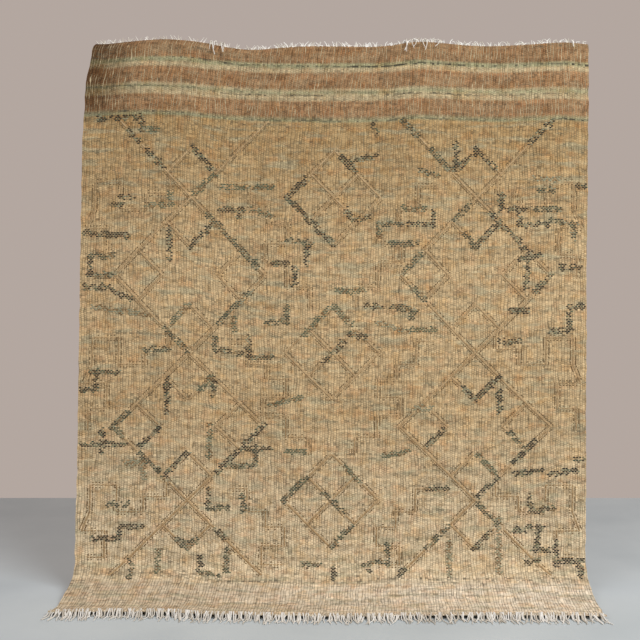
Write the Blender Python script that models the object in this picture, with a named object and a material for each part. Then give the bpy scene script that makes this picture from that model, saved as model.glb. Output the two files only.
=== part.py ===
"""Flat-woven jute rug, held up by its top edge, its foot bent forward and lying on the floor.

The cloth is one slab, laid out flat, ribbed on its face and then bent along the rug's side path.
A narrow strip at each end carries the loose warp ends as a fringe.
X runs to the right, Y away from the viewer, Z up, and the origin is the middle of the top edge.
Across is measured from the middle of the cut cloth, and along from its top edge downwards.
"""

import math
import random

import bmesh
import bpy
from mathutils import Vector

# Size of the cut cloth, in metres
CLOTH_WIDTH = 1.750
CLOTH_LENGTH = 2.140
CLOTH_THICKNESS = 0.006
HALF_THICKNESS = CLOTH_THICKNESS / 2
STRIP_LENGTH = 0.010
SEAM_GAP = 0.0003

# The side path: a rolled top edge, a leaning face, a bend, and a foot on the floor.
# A heading is turned from straight down towards the viewer.
FLOOR_DROP = 1.879
LEAN = math.radians(5.0)
ROLL_RADIUS = 0.030
BEND_RADIUS = 0.090
SLOPE_TURN = math.radians(75.0)
SLOPE_LENGTH = 0.090
LANDING_RADIUS = 0.200
FLOOR_TURN = math.radians(90.0)
RISE_RUN = 0.060

# Across the width: height of the top edge, how far it rolls back, how far the front edge rises
ACROSS_COLUMNS = ("across", "edge_height", "roll_degrees", "rise_degrees")
ACROSS_ROWS = (
    (-0.875, 0.022, 84.0, 24.0),
    (-0.690, 0.020, 96.0, 27.0),
    (-0.540, 0.017, 92.0, 30.0),
    (-0.330, 0.004, 70.0, 26.0),
    (-0.160, 0.001, 56.0, 24.0),
    (0.000, 0.000, 46.0, 21.0),
    (0.170, 0.006, 32.0, 19.0),
    (0.280, 0.012, 24.0, 21.0),
    (0.520, 0.008, 20.0, 25.0),
    (0.780, 0.010, 16.0, 23.0),
    (0.875, 0.006, 22.0, 18.0),
)

# Along the length: where the two side edges lie
SIDE_COLUMNS = ("along", "left_edge", "right_edge")
SIDE_ROWS = (
    (0.000, -0.866, 0.868),
    (0.060, -0.880, 0.869),
    (0.180, -0.899, 0.867),
    (0.400, -0.908, 0.861),
    (0.900, -0.910, 0.850),
    (1.400, -0.911, 0.842),
    (1.850, -0.914, 0.835),
    (2.000, -0.922, 0.829),
    (2.140, -0.932, 0.822),
)

# Soft folds of the hanging face: middle, half width, push towards the viewer high up and low down
FOLD_ROWS = (
    (-0.860, 0.080, -0.008, -0.006),
    (-0.610, 0.130, 0.012, 0.005),
    (-0.330, 0.110, -0.011, -0.004),
    (-0.060, 0.120, 0.004, 0.006),
    (0.120, 0.070, -0.006, -0.003),
    (0.280, 0.090, 0.010, 0.002),
    (0.530, 0.130, -0.010, -0.005),
    (0.790, 0.090, 0.011, 0.006),
)
FOLD_END = 1.760
FOLD_EASE = 0.300

# Rows of cells down the flat slab: where each zone ends, and how many rows it has
ZONE_ROWS = (
    (0.060, 5),
    (0.270, 4),
    (1.750, 22),
    (1.900, 10),
    (2.000, 3),
    (2.060, 2),
    (CLOTH_LENGTH - STRIP_LENGTH - SEAM_GAP, 3),
)
CLOTH_COLUMNS = 30
COLUMN_WIDTH = CLOTH_WIDTH / CLOTH_COLUMNS

# The woven field: repeats of a lozenge lattice in two side columns, with lozenges between them
TOP_PANEL = 0.272
REPEATS = 3
REPEAT_LENGTH = 0.525
SIDE_COLUMN_AT = 0.493
LATTICE_HALF_WIDTH = 0.260
MIDDLE_HALF_SIZE = 0.162
NESTED_HALF_SIZE = 0.083
RIB_HALF_WIDTH = 0.008
RIB_HEIGHT = 0.0020
RIB_MARGIN = 0.060
CUT_SNAP = 0.0008
TOLERANCE = 1e-6

# Fringes: every second cell of a strip is drawn out into a four-sided strand
LOW_STRANDS = 112
LOW_REACH = 0.027
LANDING_SHARE = 0.55
TOP_STRANDS = 76
TOP_REACH = 0.009
STRAND_HEIGHT = 0.0034
STRAND_SHARE = 0.40
WIDTH_SPREAD = 0.30
PLACE_SPREAD = 0.20
TIP_SHARE = 0.50
REACH_SPREAD = 0.30
UPWARD_SHARE = 0.60
DRIFT = 0.0030
LOW_SEED = 7
TOP_SEED = 19

# Loose top strands that flop over the face: place across, and how far down the face they reach
FLOP_ROWS = (
    (-0.470, 0.030),
    (-0.442, 0.042),
    (-0.414, 0.026),
    (0.216, 0.030),
    (0.244, 0.022),
    (0.290, 0.034),
    (0.318, 0.020),
    (0.820, 0.018),
)
FLOP_STATIONS = tuple(0.010 * step for step in range(10))
FLOP_HEIGHT = 0.007
FLOP_CLEARANCE = 0.0045
FLOP_DRIFT = 0.004
FLOP_SLIMNESS = 0.70

# Sections of a flopping strand: share of the way from its root to the front of the face,
# share of its reach that it has dropped, and how far its outer side faces the viewer
FLOP_SECTIONS = (
    (-0.15, 0.04, -30.0),
    (0.50, -0.04, 0.0),
    (1.06, 0.14, 45.0),
    (1.12, 0.55, 90.0),
    (1.16, 1.00, 90.0),
)

# Finish: colour, roughness and metallic value of each piece
CLOTH_COLOUR = (0.37, 0.27, 0.16, 1.0)
FRINGE_COLOUR = (0.66, 0.60, 0.50, 1.0)
CLOTH_ROUGHNESS = 0.92
FRINGE_ROUGHNESS = 0.88


def eased(share):
    """An S-shaped step from 0 to 1."""
    share = min(max(share, 0.0), 1.0)
    return share * share * (3.0 - 2.0 * share)


def read_table(rows, columns, key, value, place):
    """Reads a table at a place, with eased steps between its rows."""
    keys = [row[columns.index(key)] for row in rows]
    values = [row[columns.index(value)] for row in rows]
    if place <= keys[0]:
        return values[0]
    for low, high, value_low, value_high in zip(keys, keys[1:], values, values[1:]):
        if place <= high:
            return value_low + (value_high - value_low) * eased((place - low) / (high - low))
    return values[-1]


def walk_arc(length, start, end):
    """How far the path moves in depth and height over a length that turns between two headings."""
    if abs(end - start) < TOLERANCE:
        return -length * math.sin(start), -length * math.cos(start)
    radius = length / (end - start)
    return radius * (math.cos(end) - math.cos(start)), -radius * (math.sin(end) - math.sin(start))


def path_pieces(across):
    """The side path at one place across: where it starts, and each piece's length and last heading."""
    edge_height = read_table(ACROSS_ROWS, ACROSS_COLUMNS, "across", "edge_height", across)
    roll = math.radians(read_table(ACROSS_ROWS, ACROSS_COLUMNS, "across", "roll_degrees", across))
    rise = math.radians(read_table(ACROSS_ROWS, ACROSS_COLUMNS, "across", "rise_degrees", across))
    roll_length = ROLL_RADIUS * (roll - LEAN)
    roll_depth, roll_drop = walk_arc(roll_length, roll, LEAN)
    foot = (
        (BEND_RADIUS * (SLOPE_TURN - LEAN), LEAN, SLOPE_TURN),
        (SLOPE_LENGTH, SLOPE_TURN, SLOPE_TURN),
        (LANDING_RADIUS * (FLOOR_TURN - SLOPE_TURN), SLOPE_TURN, FLOOR_TURN),
    )
    foot_drop = sum(walk_arc(*piece)[1] for piece in foot)
    foot_length = sum(piece[0] for piece in foot)
    face_length = (edge_height + roll_drop + foot_drop + FLOOR_DROP - HALF_THICKNESS) / math.cos(LEAN)
    level_length = CLOTH_LENGTH - roll_length - face_length - foot_length - RISE_RUN
    pieces = [(roll_length, LEAN), (face_length, LEAN)]
    pieces += [(length, end) for length, start, end in foot]
    pieces += [(level_length, FLOOR_TURN), (RISE_RUN, FLOOR_TURN + rise)]
    return -roll_depth, edge_height, roll, pieces


def side_path(across, along):
    """Depth, height and heading of the cloth's middle surface at one place."""
    depth, height, heading, pieces = path_pieces(across)
    for length, end in pieces:
        run = min(along, length)
        here = heading + (end - heading) * run / length
        depth_step, height_step = walk_arc(run, heading, here)
        depth += depth_step
        height += height_step
        heading = here
        along -= run
        if along <= 0.0:
            break
    return depth, height, heading


def fold_push(across, along):
    """How far the soft folds push the hanging face towards the viewer."""
    low_share = min(along / FOLD_END, 1.0)
    fade = 1.0 - eased((along - FOLD_END + FOLD_EASE) / FOLD_EASE)
    push = 0.0
    for middle, half_width, high, low in FOLD_ROWS:
        bump = math.exp(-((across - middle) / half_width) ** 2)
        push += (high + (low - high) * low_share) * bump
    return push * fade


def place(across, along, off):
    """Bends one point of the flat cloth to its real place; off is measured from the middle surface."""
    left = read_table(SIDE_ROWS, SIDE_COLUMNS, "along", "left_edge", along)
    right = read_table(SIDE_ROWS, SIDE_COLUMNS, "along", "right_edge", along)
    depth, height, heading = side_path(across, along)
    out = off + fold_push(across, along)
    return Vector((
        left + (right - left) * (across / CLOTH_WIDTH + 0.5),
        depth - out * math.cos(heading),
        height + out * math.sin(heading),
    ))


def place_on_cell(across, along, off):
    """Like place, but straight between the cloth's own columns, so that a strip follows its edge."""
    column = min(int((across + CLOTH_WIDTH / 2) / COLUMN_WIDTH), CLOTH_COLUMNS - 1)
    start = column * COLUMN_WIDTH - CLOTH_WIDTH / 2
    share = (across - start) / COLUMN_WIDTH
    return place(start, along, off).lerp(place(start + COLUMN_WIDTH, along, off), share)


def mirrored_pair(start, end, middle):
    """A rib line and its mirror image about a column's middle."""
    return [
        ((middle + start[0], start[1]), (middle + end[0], end[1])),
        ((middle - start[0], start[1]), (middle - end[0], end[1])),
    ]


def rib_lines():
    """The raised lines of the woven lattice, as pairs of flat points."""
    lines = []
    half = REPEAT_LENGTH / 2
    nested = NESTED_HALF_SIZE
    for repeat in range(REPEATS):
        crossing = TOP_PANEL + REPEAT_LENGTH * repeat + half
        for column in (-SIDE_COLUMN_AT, SIDE_COLUMN_AT):
            for side in (-1.0, 1.0):
                corner = crossing + side * half
                lines += mirrored_pair((LATTICE_HALF_WIDTH, corner), (0.0, crossing), column)
                tip = crossing + side * 2 * nested
                lines += mirrored_pair((nested, crossing + side * nested), (0.0, tip), column)
        for side in (-1.0, 1.0):
            top = crossing + side * MIDDLE_HALF_SIZE
            lines += mirrored_pair((MIDDLE_HALF_SIZE, crossing), (0.0, top), 0.0)
    return lines


def line_distance(point, start, end):
    """Distance from a flat point to a rib line."""
    run = Vector(end) - Vector(start)
    offset = Vector(point) - Vector(start)
    share = offset.dot(run) / run.length_squared
    held = min(max(share, 0.0), 1.0)
    return (offset - run * held).length


def cut_ribs(mesh, lines):
    """Cuts each rib's crest and two borders into the slab's face."""
    for start, end in lines:
        run = (Vector(end) - Vector(start)).normalized()
        across_run = Vector((-run.y, run.x))
        for shift in (-RIB_HALF_WIDTH, 0.0, RIB_HALF_WIDTH):
            near = [
                face for face in mesh.faces
                if face.calc_center_median().z > HALF_THICKNESS - TOLERANCE
                and line_distance(face.calc_center_median().xy, start, end) < RIB_MARGIN
            ]
            touched = set(near)
            for face in near:
                touched.update(face.edges)
                touched.update(face.verts)
            on_line = Vector(start) + across_run * shift
            bmesh.ops.bisect_plane(
                mesh,
                geom=list(touched),
                dist=CUT_SNAP,
                plane_co=on_line.to_3d(),
                plane_no=across_run.to_3d(),
            )


def raise_ribs(mesh, lines):
    """Raises the slab's face to a crest along each rib line."""
    for vertex in mesh.verts:
        if vertex.co.z < 0.0:
            continue
        nearest = min(line_distance(vertex.co.xy, start, end) for start, end in lines)
        vertex.co.z += RIB_HEIGHT * max(0.0, 1.0 - nearest / RIB_HALF_WIDTH)


def zone_stations():
    """The along value of each row line of the slab."""
    stations = [STRIP_LENGTH + SEAM_GAP]
    for end, rows in ZONE_ROWS:
        start = stations[-1]
        stations += [start + (end - start) * (row + 1) / rows for row in range(rows)]
    return stations


def flat_slab(borders, stations):
    """A closed flat slab of the cloth's thickness, with grid lines at borders and stations."""
    mesh = bmesh.new()
    columns = len(borders) - 1
    rows = len(stations) - 1
    bmesh.ops.create_grid(mesh, x_segments=columns, y_segments=rows, size=0.5)
    for vertex in mesh.verts:
        column = round((vertex.co.x + 0.5) * columns)
        row = round((vertex.co.y + 0.5) * rows)
        vertex.co = (borders[column], stations[row], -HALF_THICKNESS)
    raised = bmesh.ops.extrude_face_region(mesh, geom=mesh.faces[:])["geom"]
    for item in raised:
        if isinstance(item, bmesh.types.BMVert):
            item.co.z = HALF_THICKNESS
    bmesh.ops.recalc_face_normals(mesh, faces=mesh.faces[:])
    return mesh


def bend(mesh, placing):
    """Moves every point of a flat slab to its real place; the move mirrors it, so faces turn round."""
    for vertex in mesh.verts:
        vertex.co = placing(*vertex.co)
    bmesh.ops.reverse_faces(mesh, faces=mesh.faces[:])


def finish_piece(name, mesh, collection, material):
    """Turns a closed bmesh into a named object with its material."""
    data = bpy.data.meshes.new(name)
    mesh.to_mesh(data)
    mesh.free()
    data.materials.append(material)
    piece = bpy.data.objects.new(name, data)
    collection.objects.link(piece)
    return piece


def woven_cloth(collection, material):
    """The rug itself: one slab with ribbed lozenges, bent to the shape in which it hangs."""
    stations = zone_stations()
    columns = [column * COLUMN_WIDTH - CLOTH_WIDTH / 2 for column in range(CLOTH_COLUMNS + 1)]
    mesh = flat_slab(columns, stations)
    lines = rib_lines()
    cut_ribs(mesh, lines)
    raise_ribs(mesh, lines)
    bmesh.ops.triangulate(mesh, faces=mesh.faces[:])
    bend(mesh, place)
    return finish_piece("woven_cloth", mesh, collection, material)


def strip_cells(strands, draw):
    """Across values of a strip's cell borders: gap, strand, gap, strand and so on, unevenly spaced."""
    pitch = CLOTH_WIDTH / strands
    borders = [-CLOTH_WIDTH / 2]
    for number in range(strands):
        width = pitch * STRAND_SHARE * draw.uniform(1.0 - WIDTH_SPREAD, 1.0 + WIDTH_SPREAD)
        middle = pitch * (number + 0.5 + draw.uniform(-PLACE_SPREAD, PLACE_SPREAD)) - CLOTH_WIDTH / 2
        borders += [middle - width / 2, middle + width / 2]
    borders.append(CLOTH_WIDTH / 2)
    return borders


def outer_faces(mesh, along):
    """The strip's end faces at one station, from left to right."""
    faces = [
        face for face in mesh.faces
        if all(abs(vertex.co.y - along) < TOLERANCE for vertex in face.verts)
    ]
    return sorted(faces, key=lambda face: face.calc_center_median().x)


def draw_out(mesh, face, centres, half_widths, half_heights):
    """Draws an end face out into a strand through a list of section centres, level across."""
    for centre, half_width, half_height in zip(centres, half_widths, half_heights):
        middle = face.calc_center_median()
        sides = [
            (1.0 if corner.co.x > middle.x else -1.0, 1.0 if corner.co.z > middle.z else -1.0)
            for corner in face.verts
        ]
        face = bmesh.ops.extrude_discrete_faces(mesh, faces=[face])["faces"][0]
        for corner, (right, up) in zip(face.verts, sides):
            corner.co = centre + Vector((right * half_width, 0.0, 0.0)) + half_height * up


def low_strand(mesh, face, draw):
    """One warp end of the front edge: it falls from the raised edge and rests level on the floor."""
    root = face.calc_center_median()
    reach = LOW_REACH * draw.uniform(1.0 - REACH_SPREAD, 1.0 + REACH_SPREAD)
    drift = draw.uniform(-DRIFT, DRIFT)
    rest = -FLOOR_DROP + STRAND_HEIGHT / 2
    shares = (LANDING_SHARE, 1.0)
    heights = (rest, rest)
    centres = [
        Vector((root.x + drift * share, root.y - reach * share, height))
        for share, height in zip(shares, heights)
    ]
    width = CLOTH_WIDTH / LOW_STRANDS * STRAND_SHARE / 2
    up = Vector((0.0, 0.0, STRAND_HEIGHT / 2))
    draw_out(mesh, face, centres, (width, width * TIP_SHARE), (up, up))


def lower_fringe(collection, material):
    """The strip and loose warp ends along the front edge of the foot."""
    draw = random.Random(LOW_SEED)
    borders = strip_cells(LOW_STRANDS, draw)
    front = CLOTH_LENGTH
    mesh = flat_slab(borders, (front - STRIP_LENGTH, front))
    faces = outer_faces(mesh, front)[1::2]
    bend(mesh, place_on_cell)
    for face in faces:
        low_strand(mesh, face, draw)
    bmesh.ops.triangulate(mesh, faces=mesh.faces[:])
    return finish_piece("lower_fringe", mesh, collection, material)


def top_fray(mesh, face, across, draw):
    """A short warp end that stands out of the top edge and leans upwards."""
    root = face.calc_center_median()
    heading = side_path(across, 0.0)[2]
    outward = Vector((0.0, math.sin(heading), math.cos(heading)))
    reach = TOP_REACH * draw.uniform(1.0 - REACH_SPREAD, 1.0 + REACH_SPREAD)
    lean = Vector((draw.uniform(-DRIFT, DRIFT), 0.0, reach * UPWARD_SHARE))
    width = CLOTH_WIDTH / TOP_STRANDS * STRAND_SHARE / 2
    side = Vector((0.0, -math.cos(heading), math.sin(heading))) * STRAND_HEIGHT / 2
    draw_out(mesh, face, [root + outward * reach + lean], (width * TIP_SHARE,), (side,))


def flop_strand(mesh, face, across, reach):
    """A long warp end that turns up over the top edge and hangs down, its face side inwards."""
    root = face.calc_center_median()
    surface = [place_on_cell(across, along, HALF_THICKNESS) for along in FLOP_STATIONS]
    over = max(point.z for point in surface) + FLOP_HEIGHT
    ahead = min(point.y for point in surface) - FLOP_CLEARANCE
    centres = []
    half_heights = []
    for ahead_share, drop_share, facing_degrees in FLOP_SECTIONS:
        depth = root.y + (ahead - root.y) * ahead_share
        facing = math.radians(facing_degrees)
        centres.append(Vector((root.x + FLOP_DRIFT * drop_share, depth, over - reach * drop_share)))
        half_heights.append(Vector((0.0, math.sin(facing), -math.cos(facing))) * STRAND_HEIGHT / 2)
    width = CLOTH_WIDTH / TOP_STRANDS * STRAND_SHARE / 2
    half_widths = [width * FLOP_SLIMNESS] * (len(FLOP_SECTIONS) - 1) + [width * TIP_SHARE]
    draw_out(mesh, face, centres, half_widths, half_heights)


def upper_fringe(collection, material):
    """The strip along the top edge, with short frays and a few long strands that flop forward."""
    draw = random.Random(TOP_SEED)
    borders = strip_cells(TOP_STRANDS, draw)
    mesh = flat_slab(borders, (0.0, STRIP_LENGTH))
    faces = outer_faces(mesh, 0.0)[1::2]
    middles = [face.calc_center_median().x for face in faces]
    bend(mesh, place_on_cell)
    flops = {
        min(range(TOP_STRANDS), key=lambda number: abs(middles[number] - across)): reach
        for across, reach in FLOP_ROWS
    }
    for number, face in enumerate(faces):
        if number in flops:
            flop_strand(mesh, face, middles[number], flops[number])
        else:
            top_fray(mesh, face, middles[number], draw)
    bmesh.ops.triangulate(mesh, faces=mesh.faces[:])
    return finish_piece("upper_fringe", mesh, collection, material)


def yarn_material(name, colour, roughness):
    """A plain dry yarn finish."""
    material = bpy.data.materials.new(name)
    material.use_nodes = True
    shader = material.node_tree.nodes["Principled BSDF"]
    shader.inputs["Base Color"].default_value = colour
    shader.inputs["Roughness"].default_value = roughness
    shader.inputs["Metallic"].default_value = 0.0
    return material


def main():
    for old in list(bpy.data.objects):
        bpy.data.objects.remove(old, do_unlink=True)
    collection = bpy.data.collections.new("jute_rug")
    bpy.context.scene.collection.children.link(collection)
    woven_cloth(collection, yarn_material("woven_jute", CLOTH_COLOUR, CLOTH_ROUGHNESS))
    lower_fringe(collection, yarn_material("lower_warp_ends", FRINGE_COLOUR, FRINGE_ROUGHNESS))
    upper_fringe(collection, yarn_material("upper_warp_ends", FRINGE_COLOUR, FRINGE_ROUGHNESS))


main()
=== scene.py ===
# %% [markdown]
# # A flat-woven jute rug, held up by its top edge
# The rug is one thin cloth of thick jute weft on warp cords. Its ends are loose warp yarns.
# The solid model gives its hanging shape, and this lesson dresses it: a fine sheet with a woven
# finish, raised pattern yarns, fringes, a floor, light and a camera.

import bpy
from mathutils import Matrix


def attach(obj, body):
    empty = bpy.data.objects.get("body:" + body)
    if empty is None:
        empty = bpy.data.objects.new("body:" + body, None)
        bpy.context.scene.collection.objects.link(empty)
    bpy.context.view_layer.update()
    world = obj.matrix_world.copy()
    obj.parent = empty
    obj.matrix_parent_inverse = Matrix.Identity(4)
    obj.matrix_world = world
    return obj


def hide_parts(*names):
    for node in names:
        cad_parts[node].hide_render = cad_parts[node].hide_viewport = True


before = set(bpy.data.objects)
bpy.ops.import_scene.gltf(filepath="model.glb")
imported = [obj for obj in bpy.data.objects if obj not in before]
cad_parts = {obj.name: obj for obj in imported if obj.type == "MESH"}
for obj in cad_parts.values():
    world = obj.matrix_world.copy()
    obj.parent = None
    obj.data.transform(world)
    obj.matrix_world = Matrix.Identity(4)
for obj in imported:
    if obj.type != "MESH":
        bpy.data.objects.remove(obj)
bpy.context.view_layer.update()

# %% [markdown]
# ## Start with the camera
# The picture was taken from a little above the rug's middle, nearly straight on. A camera that is
# level apart from a tilt of two degrees keeps the sides of the rug upright. The lens is worked out
# from the width of the picture in pixels, so that one number ties the view to the real sizes.

# %% Camera
import math

import bpy

PICTURE_WIDTH = 640
FOCAL_PIXELS = 1015.0
SENSOR_WIDTH = 36.0

camera_data = bpy.data.cameras.new("studio_camera")
camera_data.sensor_width = SENSOR_WIDTH
camera_data.lens = SENSOR_WIDTH * FOCAL_PIXELS / PICTURE_WIDTH
camera = bpy.data.objects.new("studio_camera", camera_data)
camera.location = (-0.074, -3.60, -0.834)
camera.rotation_euler = (math.radians(88.0), 0.0, 0.0)
bpy.context.scene.collection.objects.link(camera)
bpy.context.scene.camera = camera
bpy.context.scene.view_settings.view_transform = "Standard"
print("lens", round(camera_data.lens, 1), "mm")

# %% [markdown]
# ## Repeat the rug's path
# A hung rug follows one side path: its top edge rolls back, the face leans a
# little, and the foot bends forward and lies on the floor. The same named sizes and tables as in
# the solid's source give the sheet here, so the fine sheet lies exactly on the solid's folds.
# Across runs over the width from the middle, and along runs down from the top edge.

# %% Sizes of the cloth and its path
CLOTH_WIDTH = 1.750
CLOTH_LENGTH = 2.140
CLOTH_THICKNESS = 0.006
HALF_THICKNESS = CLOTH_THICKNESS / 2
FLOOR_DROP = 1.879
LEAN = math.radians(5.0)
ROLL_RADIUS = 0.030
BEND_RADIUS = 0.090
SLOPE_TURN = math.radians(75.0)
SLOPE_LENGTH = 0.090
LANDING_RADIUS = 0.200
FLOOR_TURN = math.radians(90.0)
RISE_RUN = 0.060
TOLERANCE = 1e-6

# Across the width: height of the top edge, how far it rolls back, how far the front edge rises
ACROSS_COLUMNS = ("across", "edge_height", "roll_degrees", "rise_degrees")
ACROSS_ROWS = (
    (-0.875, 0.022, 84.0, 24.0),
    (-0.690, 0.020, 96.0, 27.0),
    (-0.540, 0.017, 92.0, 30.0),
    (-0.330, 0.004, 70.0, 26.0),
    (-0.160, 0.001, 56.0, 24.0),
    (0.000, 0.000, 46.0, 21.0),
    (0.170, 0.006, 32.0, 19.0),
    (0.280, 0.012, 24.0, 21.0),
    (0.520, 0.008, 20.0, 25.0),
    (0.780, 0.010, 16.0, 23.0),
    (0.875, 0.006, 22.0, 18.0),
)

# Along the length: where the two side edges lie
SIDE_COLUMNS = ("along", "left_edge", "right_edge")
SIDE_ROWS = (
    (0.000, -0.866, 0.868),
    (0.060, -0.880, 0.869),
    (0.180, -0.899, 0.867),
    (0.400, -0.908, 0.861),
    (0.900, -0.910, 0.850),
    (1.400, -0.911, 0.842),
    (1.850, -0.914, 0.835),
    (2.000, -0.922, 0.829),
    (2.140, -0.932, 0.822),
)

# Soft folds of the hanging face: middle, half width, push towards the viewer high up and low down
FOLD_ROWS = (
    (-0.860, 0.080, -0.008, -0.006),
    (-0.610, 0.130, 0.012, 0.005),
    (-0.330, 0.110, -0.011, -0.004),
    (-0.060, 0.120, 0.004, 0.006),
    (0.120, 0.070, -0.006, -0.003),
    (0.280, 0.090, 0.010, 0.002),
    (0.530, 0.130, -0.010, -0.005),
    (0.790, 0.090, 0.011, 0.006),
)
FOLD_END = 1.760
FOLD_EASE = 0.300

# %% Functions that bend a flat place of the cloth to its real place
from functools import lru_cache

from mathutils import Vector, noise


def eased(share):
    """An S-shaped step from 0 to 1."""
    share = min(max(share, 0.0), 1.0)
    return share * share * (3.0 - 2.0 * share)


def read_table(rows, columns, key, value, place):
    """Reads a table at a place, with eased steps between its rows."""
    keys = [row[columns.index(key)] for row in rows]
    values = [row[columns.index(value)] for row in rows]
    if place <= keys[0]:
        return values[0]
    for low, high, value_low, value_high in zip(keys, keys[1:], values, values[1:]):
        if place <= high:
            return value_low + (value_high - value_low) * eased((place - low) / (high - low))
    return values[-1]


def walk_arc(length, start, end):
    """How far the path moves in depth and height over a length that turns between two headings."""
    if abs(end - start) < TOLERANCE:
        return -length * math.sin(start), -length * math.cos(start)
    radius = length / (end - start)
    return radius * (math.cos(end) - math.cos(start)), -radius * (math.sin(end) - math.sin(start))


@lru_cache(maxsize=None)
def path_pieces(across):
    """The side path at one place across: where it starts, and each piece's length and last heading."""
    edge_height = read_table(ACROSS_ROWS, ACROSS_COLUMNS, "across", "edge_height", across)
    roll = math.radians(read_table(ACROSS_ROWS, ACROSS_COLUMNS, "across", "roll_degrees", across))
    rise = math.radians(read_table(ACROSS_ROWS, ACROSS_COLUMNS, "across", "rise_degrees", across))
    roll_length = ROLL_RADIUS * (roll - LEAN)
    roll_depth, roll_drop = walk_arc(roll_length, roll, LEAN)
    foot = (
        (BEND_RADIUS * (SLOPE_TURN - LEAN), LEAN, SLOPE_TURN),
        (SLOPE_LENGTH, SLOPE_TURN, SLOPE_TURN),
        (LANDING_RADIUS * (FLOOR_TURN - SLOPE_TURN), SLOPE_TURN, FLOOR_TURN),
    )
    foot_drop = sum(walk_arc(*piece)[1] for piece in foot)
    foot_length = sum(piece[0] for piece in foot)
    face_length = (edge_height + roll_drop + foot_drop + FLOOR_DROP - HALF_THICKNESS) / math.cos(LEAN)
    level_length = CLOTH_LENGTH - roll_length - face_length - foot_length - RISE_RUN
    pieces = [(roll_length, LEAN), (face_length, LEAN)]
    pieces += [(length, end) for length, start, end in foot]
    pieces += [(level_length, FLOOR_TURN), (RISE_RUN, FLOOR_TURN + rise)]
    return -roll_depth, edge_height, roll, pieces


def side_path(across, along):
    """Depth, height and heading of the cloth's middle surface at one place."""
    depth, height, heading, pieces = path_pieces(across)
    for length, end in pieces:
        run = min(along, length)
        here = heading + (end - heading) * run / length
        depth_step, height_step = walk_arc(run, heading, here)
        depth += depth_step
        height += height_step
        heading = here
        along -= run
        if along <= 0.0:
            break
    return depth, height, heading


@lru_cache(maxsize=None)
def side_edges(along):
    """Where the two side edges lie."""
    left = read_table(SIDE_ROWS, SIDE_COLUMNS, "along", "left_edge", along)
    right = read_table(SIDE_ROWS, SIDE_COLUMNS, "along", "right_edge", along)
    return left, right


def fold_push(across, along):
    """How far the soft folds push the hanging face towards the viewer."""
    low_share = min(along / FOLD_END, 1.0)
    fade = 1.0 - eased((along - FOLD_END + FOLD_EASE) / FOLD_EASE)
    push = 0.0
    for middle, half_width, high, low in FOLD_ROWS:
        bump = math.exp(-((across - middle) / half_width) ** 2)
        push += (high + (low - high) * low_share) * bump
    return push * fade


# %% [markdown]
# The real cloth is never as smooth as a rolled sheet. Two small additions keep it alive without
# changing its size: a ripple of about a millimetre over the face, and side edges that wander by
# a millimetre or two, as a hand-woven edge does.

# %% Hand-made unevenness
RIPPLE_HEIGHT = 0.0016
RIPPLE_SCALE = Vector((9.0, 5.0, 0.0))
EDGE_WANDER = 0.0030
EDGE_SCALE = 26.0
EDGE_BAND = 0.030


def ripple(across, along):
    """A gentle unevenness of the hanging face, gone where the cloth lies on the floor."""
    fade = 1.0 - eased((along - FOLD_END) / FOLD_EASE)
    return RIPPLE_HEIGHT * fade * noise.noise(Vector((across, along, 0.0)) * RIPPLE_SCALE)


def edge_wander(across, along):
    """How far a point near a side edge strays sideways."""
    nearness = eased(1.0 - (CLOTH_WIDTH / 2 - abs(across)) / EDGE_BAND)
    side = math.copysign(1.0, across)
    return side * nearness * EDGE_WANDER * (noise.noise(Vector((side * 7.0, along * EDGE_SCALE, 0.0))) - 0.3)


def place(across, along, off):
    """Bends one point of the flat cloth to its real place; off is measured from the middle surface."""
    left, right = side_edges(along)
    depth, height, heading = side_path(across, along)
    out = off + fold_push(across, along) + ripple(across, along)
    return Vector((
        left + (right - left) * (across / CLOTH_WIDTH + 0.5) + edge_wander(across, along),
        depth - out * math.cos(heading),
        height + out * math.sin(heading),
    ))


# %% [markdown]
# ## Weave the sheet
# A cloth this thin is best made as one grid for its face and one for its back, joined round the
# edges by a narrow rim, so that it is closed. The rows are closer together where the sheet bends.
# Each point also keeps its flat place, across and along, in an attribute. Every pattern in the
# finish reads it, so bands and ribs run along the cloth and not through space.

# %% The sheet's mesh
SHEET_COLUMNS = 176
ROW_ZONES = ((0.000, 0.080, 16), (0.080, 1.740, 138), (1.740, 2.140, 50))
FLAT_PLACE = "flat_place"


def row_stations():
    """The along value of each row line, closer where the cloth bends."""
    stations = [0.0]
    for start, end, rows in ROW_ZONES:
        stations += [start + (end - start) * (row + 1) / rows for row in range(rows)]
    return stations


def grid_faces(rows, columns, offset, turned):
    """The faces of one surface of the sheet."""
    faces = []
    for row in range(rows):
        for column in range(columns):
            corner = offset + row * (columns + 1) + column
            face = (corner, corner + columns + 1, corner + columns + 2, corner + 1)
            faces.append(tuple(reversed(face)) if turned else face)
    return faces


def rim_faces(rows, columns, back):
    """The narrow faces that join the front and the back all round."""
    wide = columns + 1
    left = [row * wide for row in range(rows + 1)]
    bottom = [rows * wide + column for column in range(wide)]
    right = [row * wide + columns for row in range(rows, -1, -1)]
    top = [column for column in range(columns, -1, -1)]
    loop = left + bottom[1:] + right[1:] + top[1:]
    return [(second, first, first + back, second + back) for first, second in zip(loop, loop[1:])]


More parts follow.
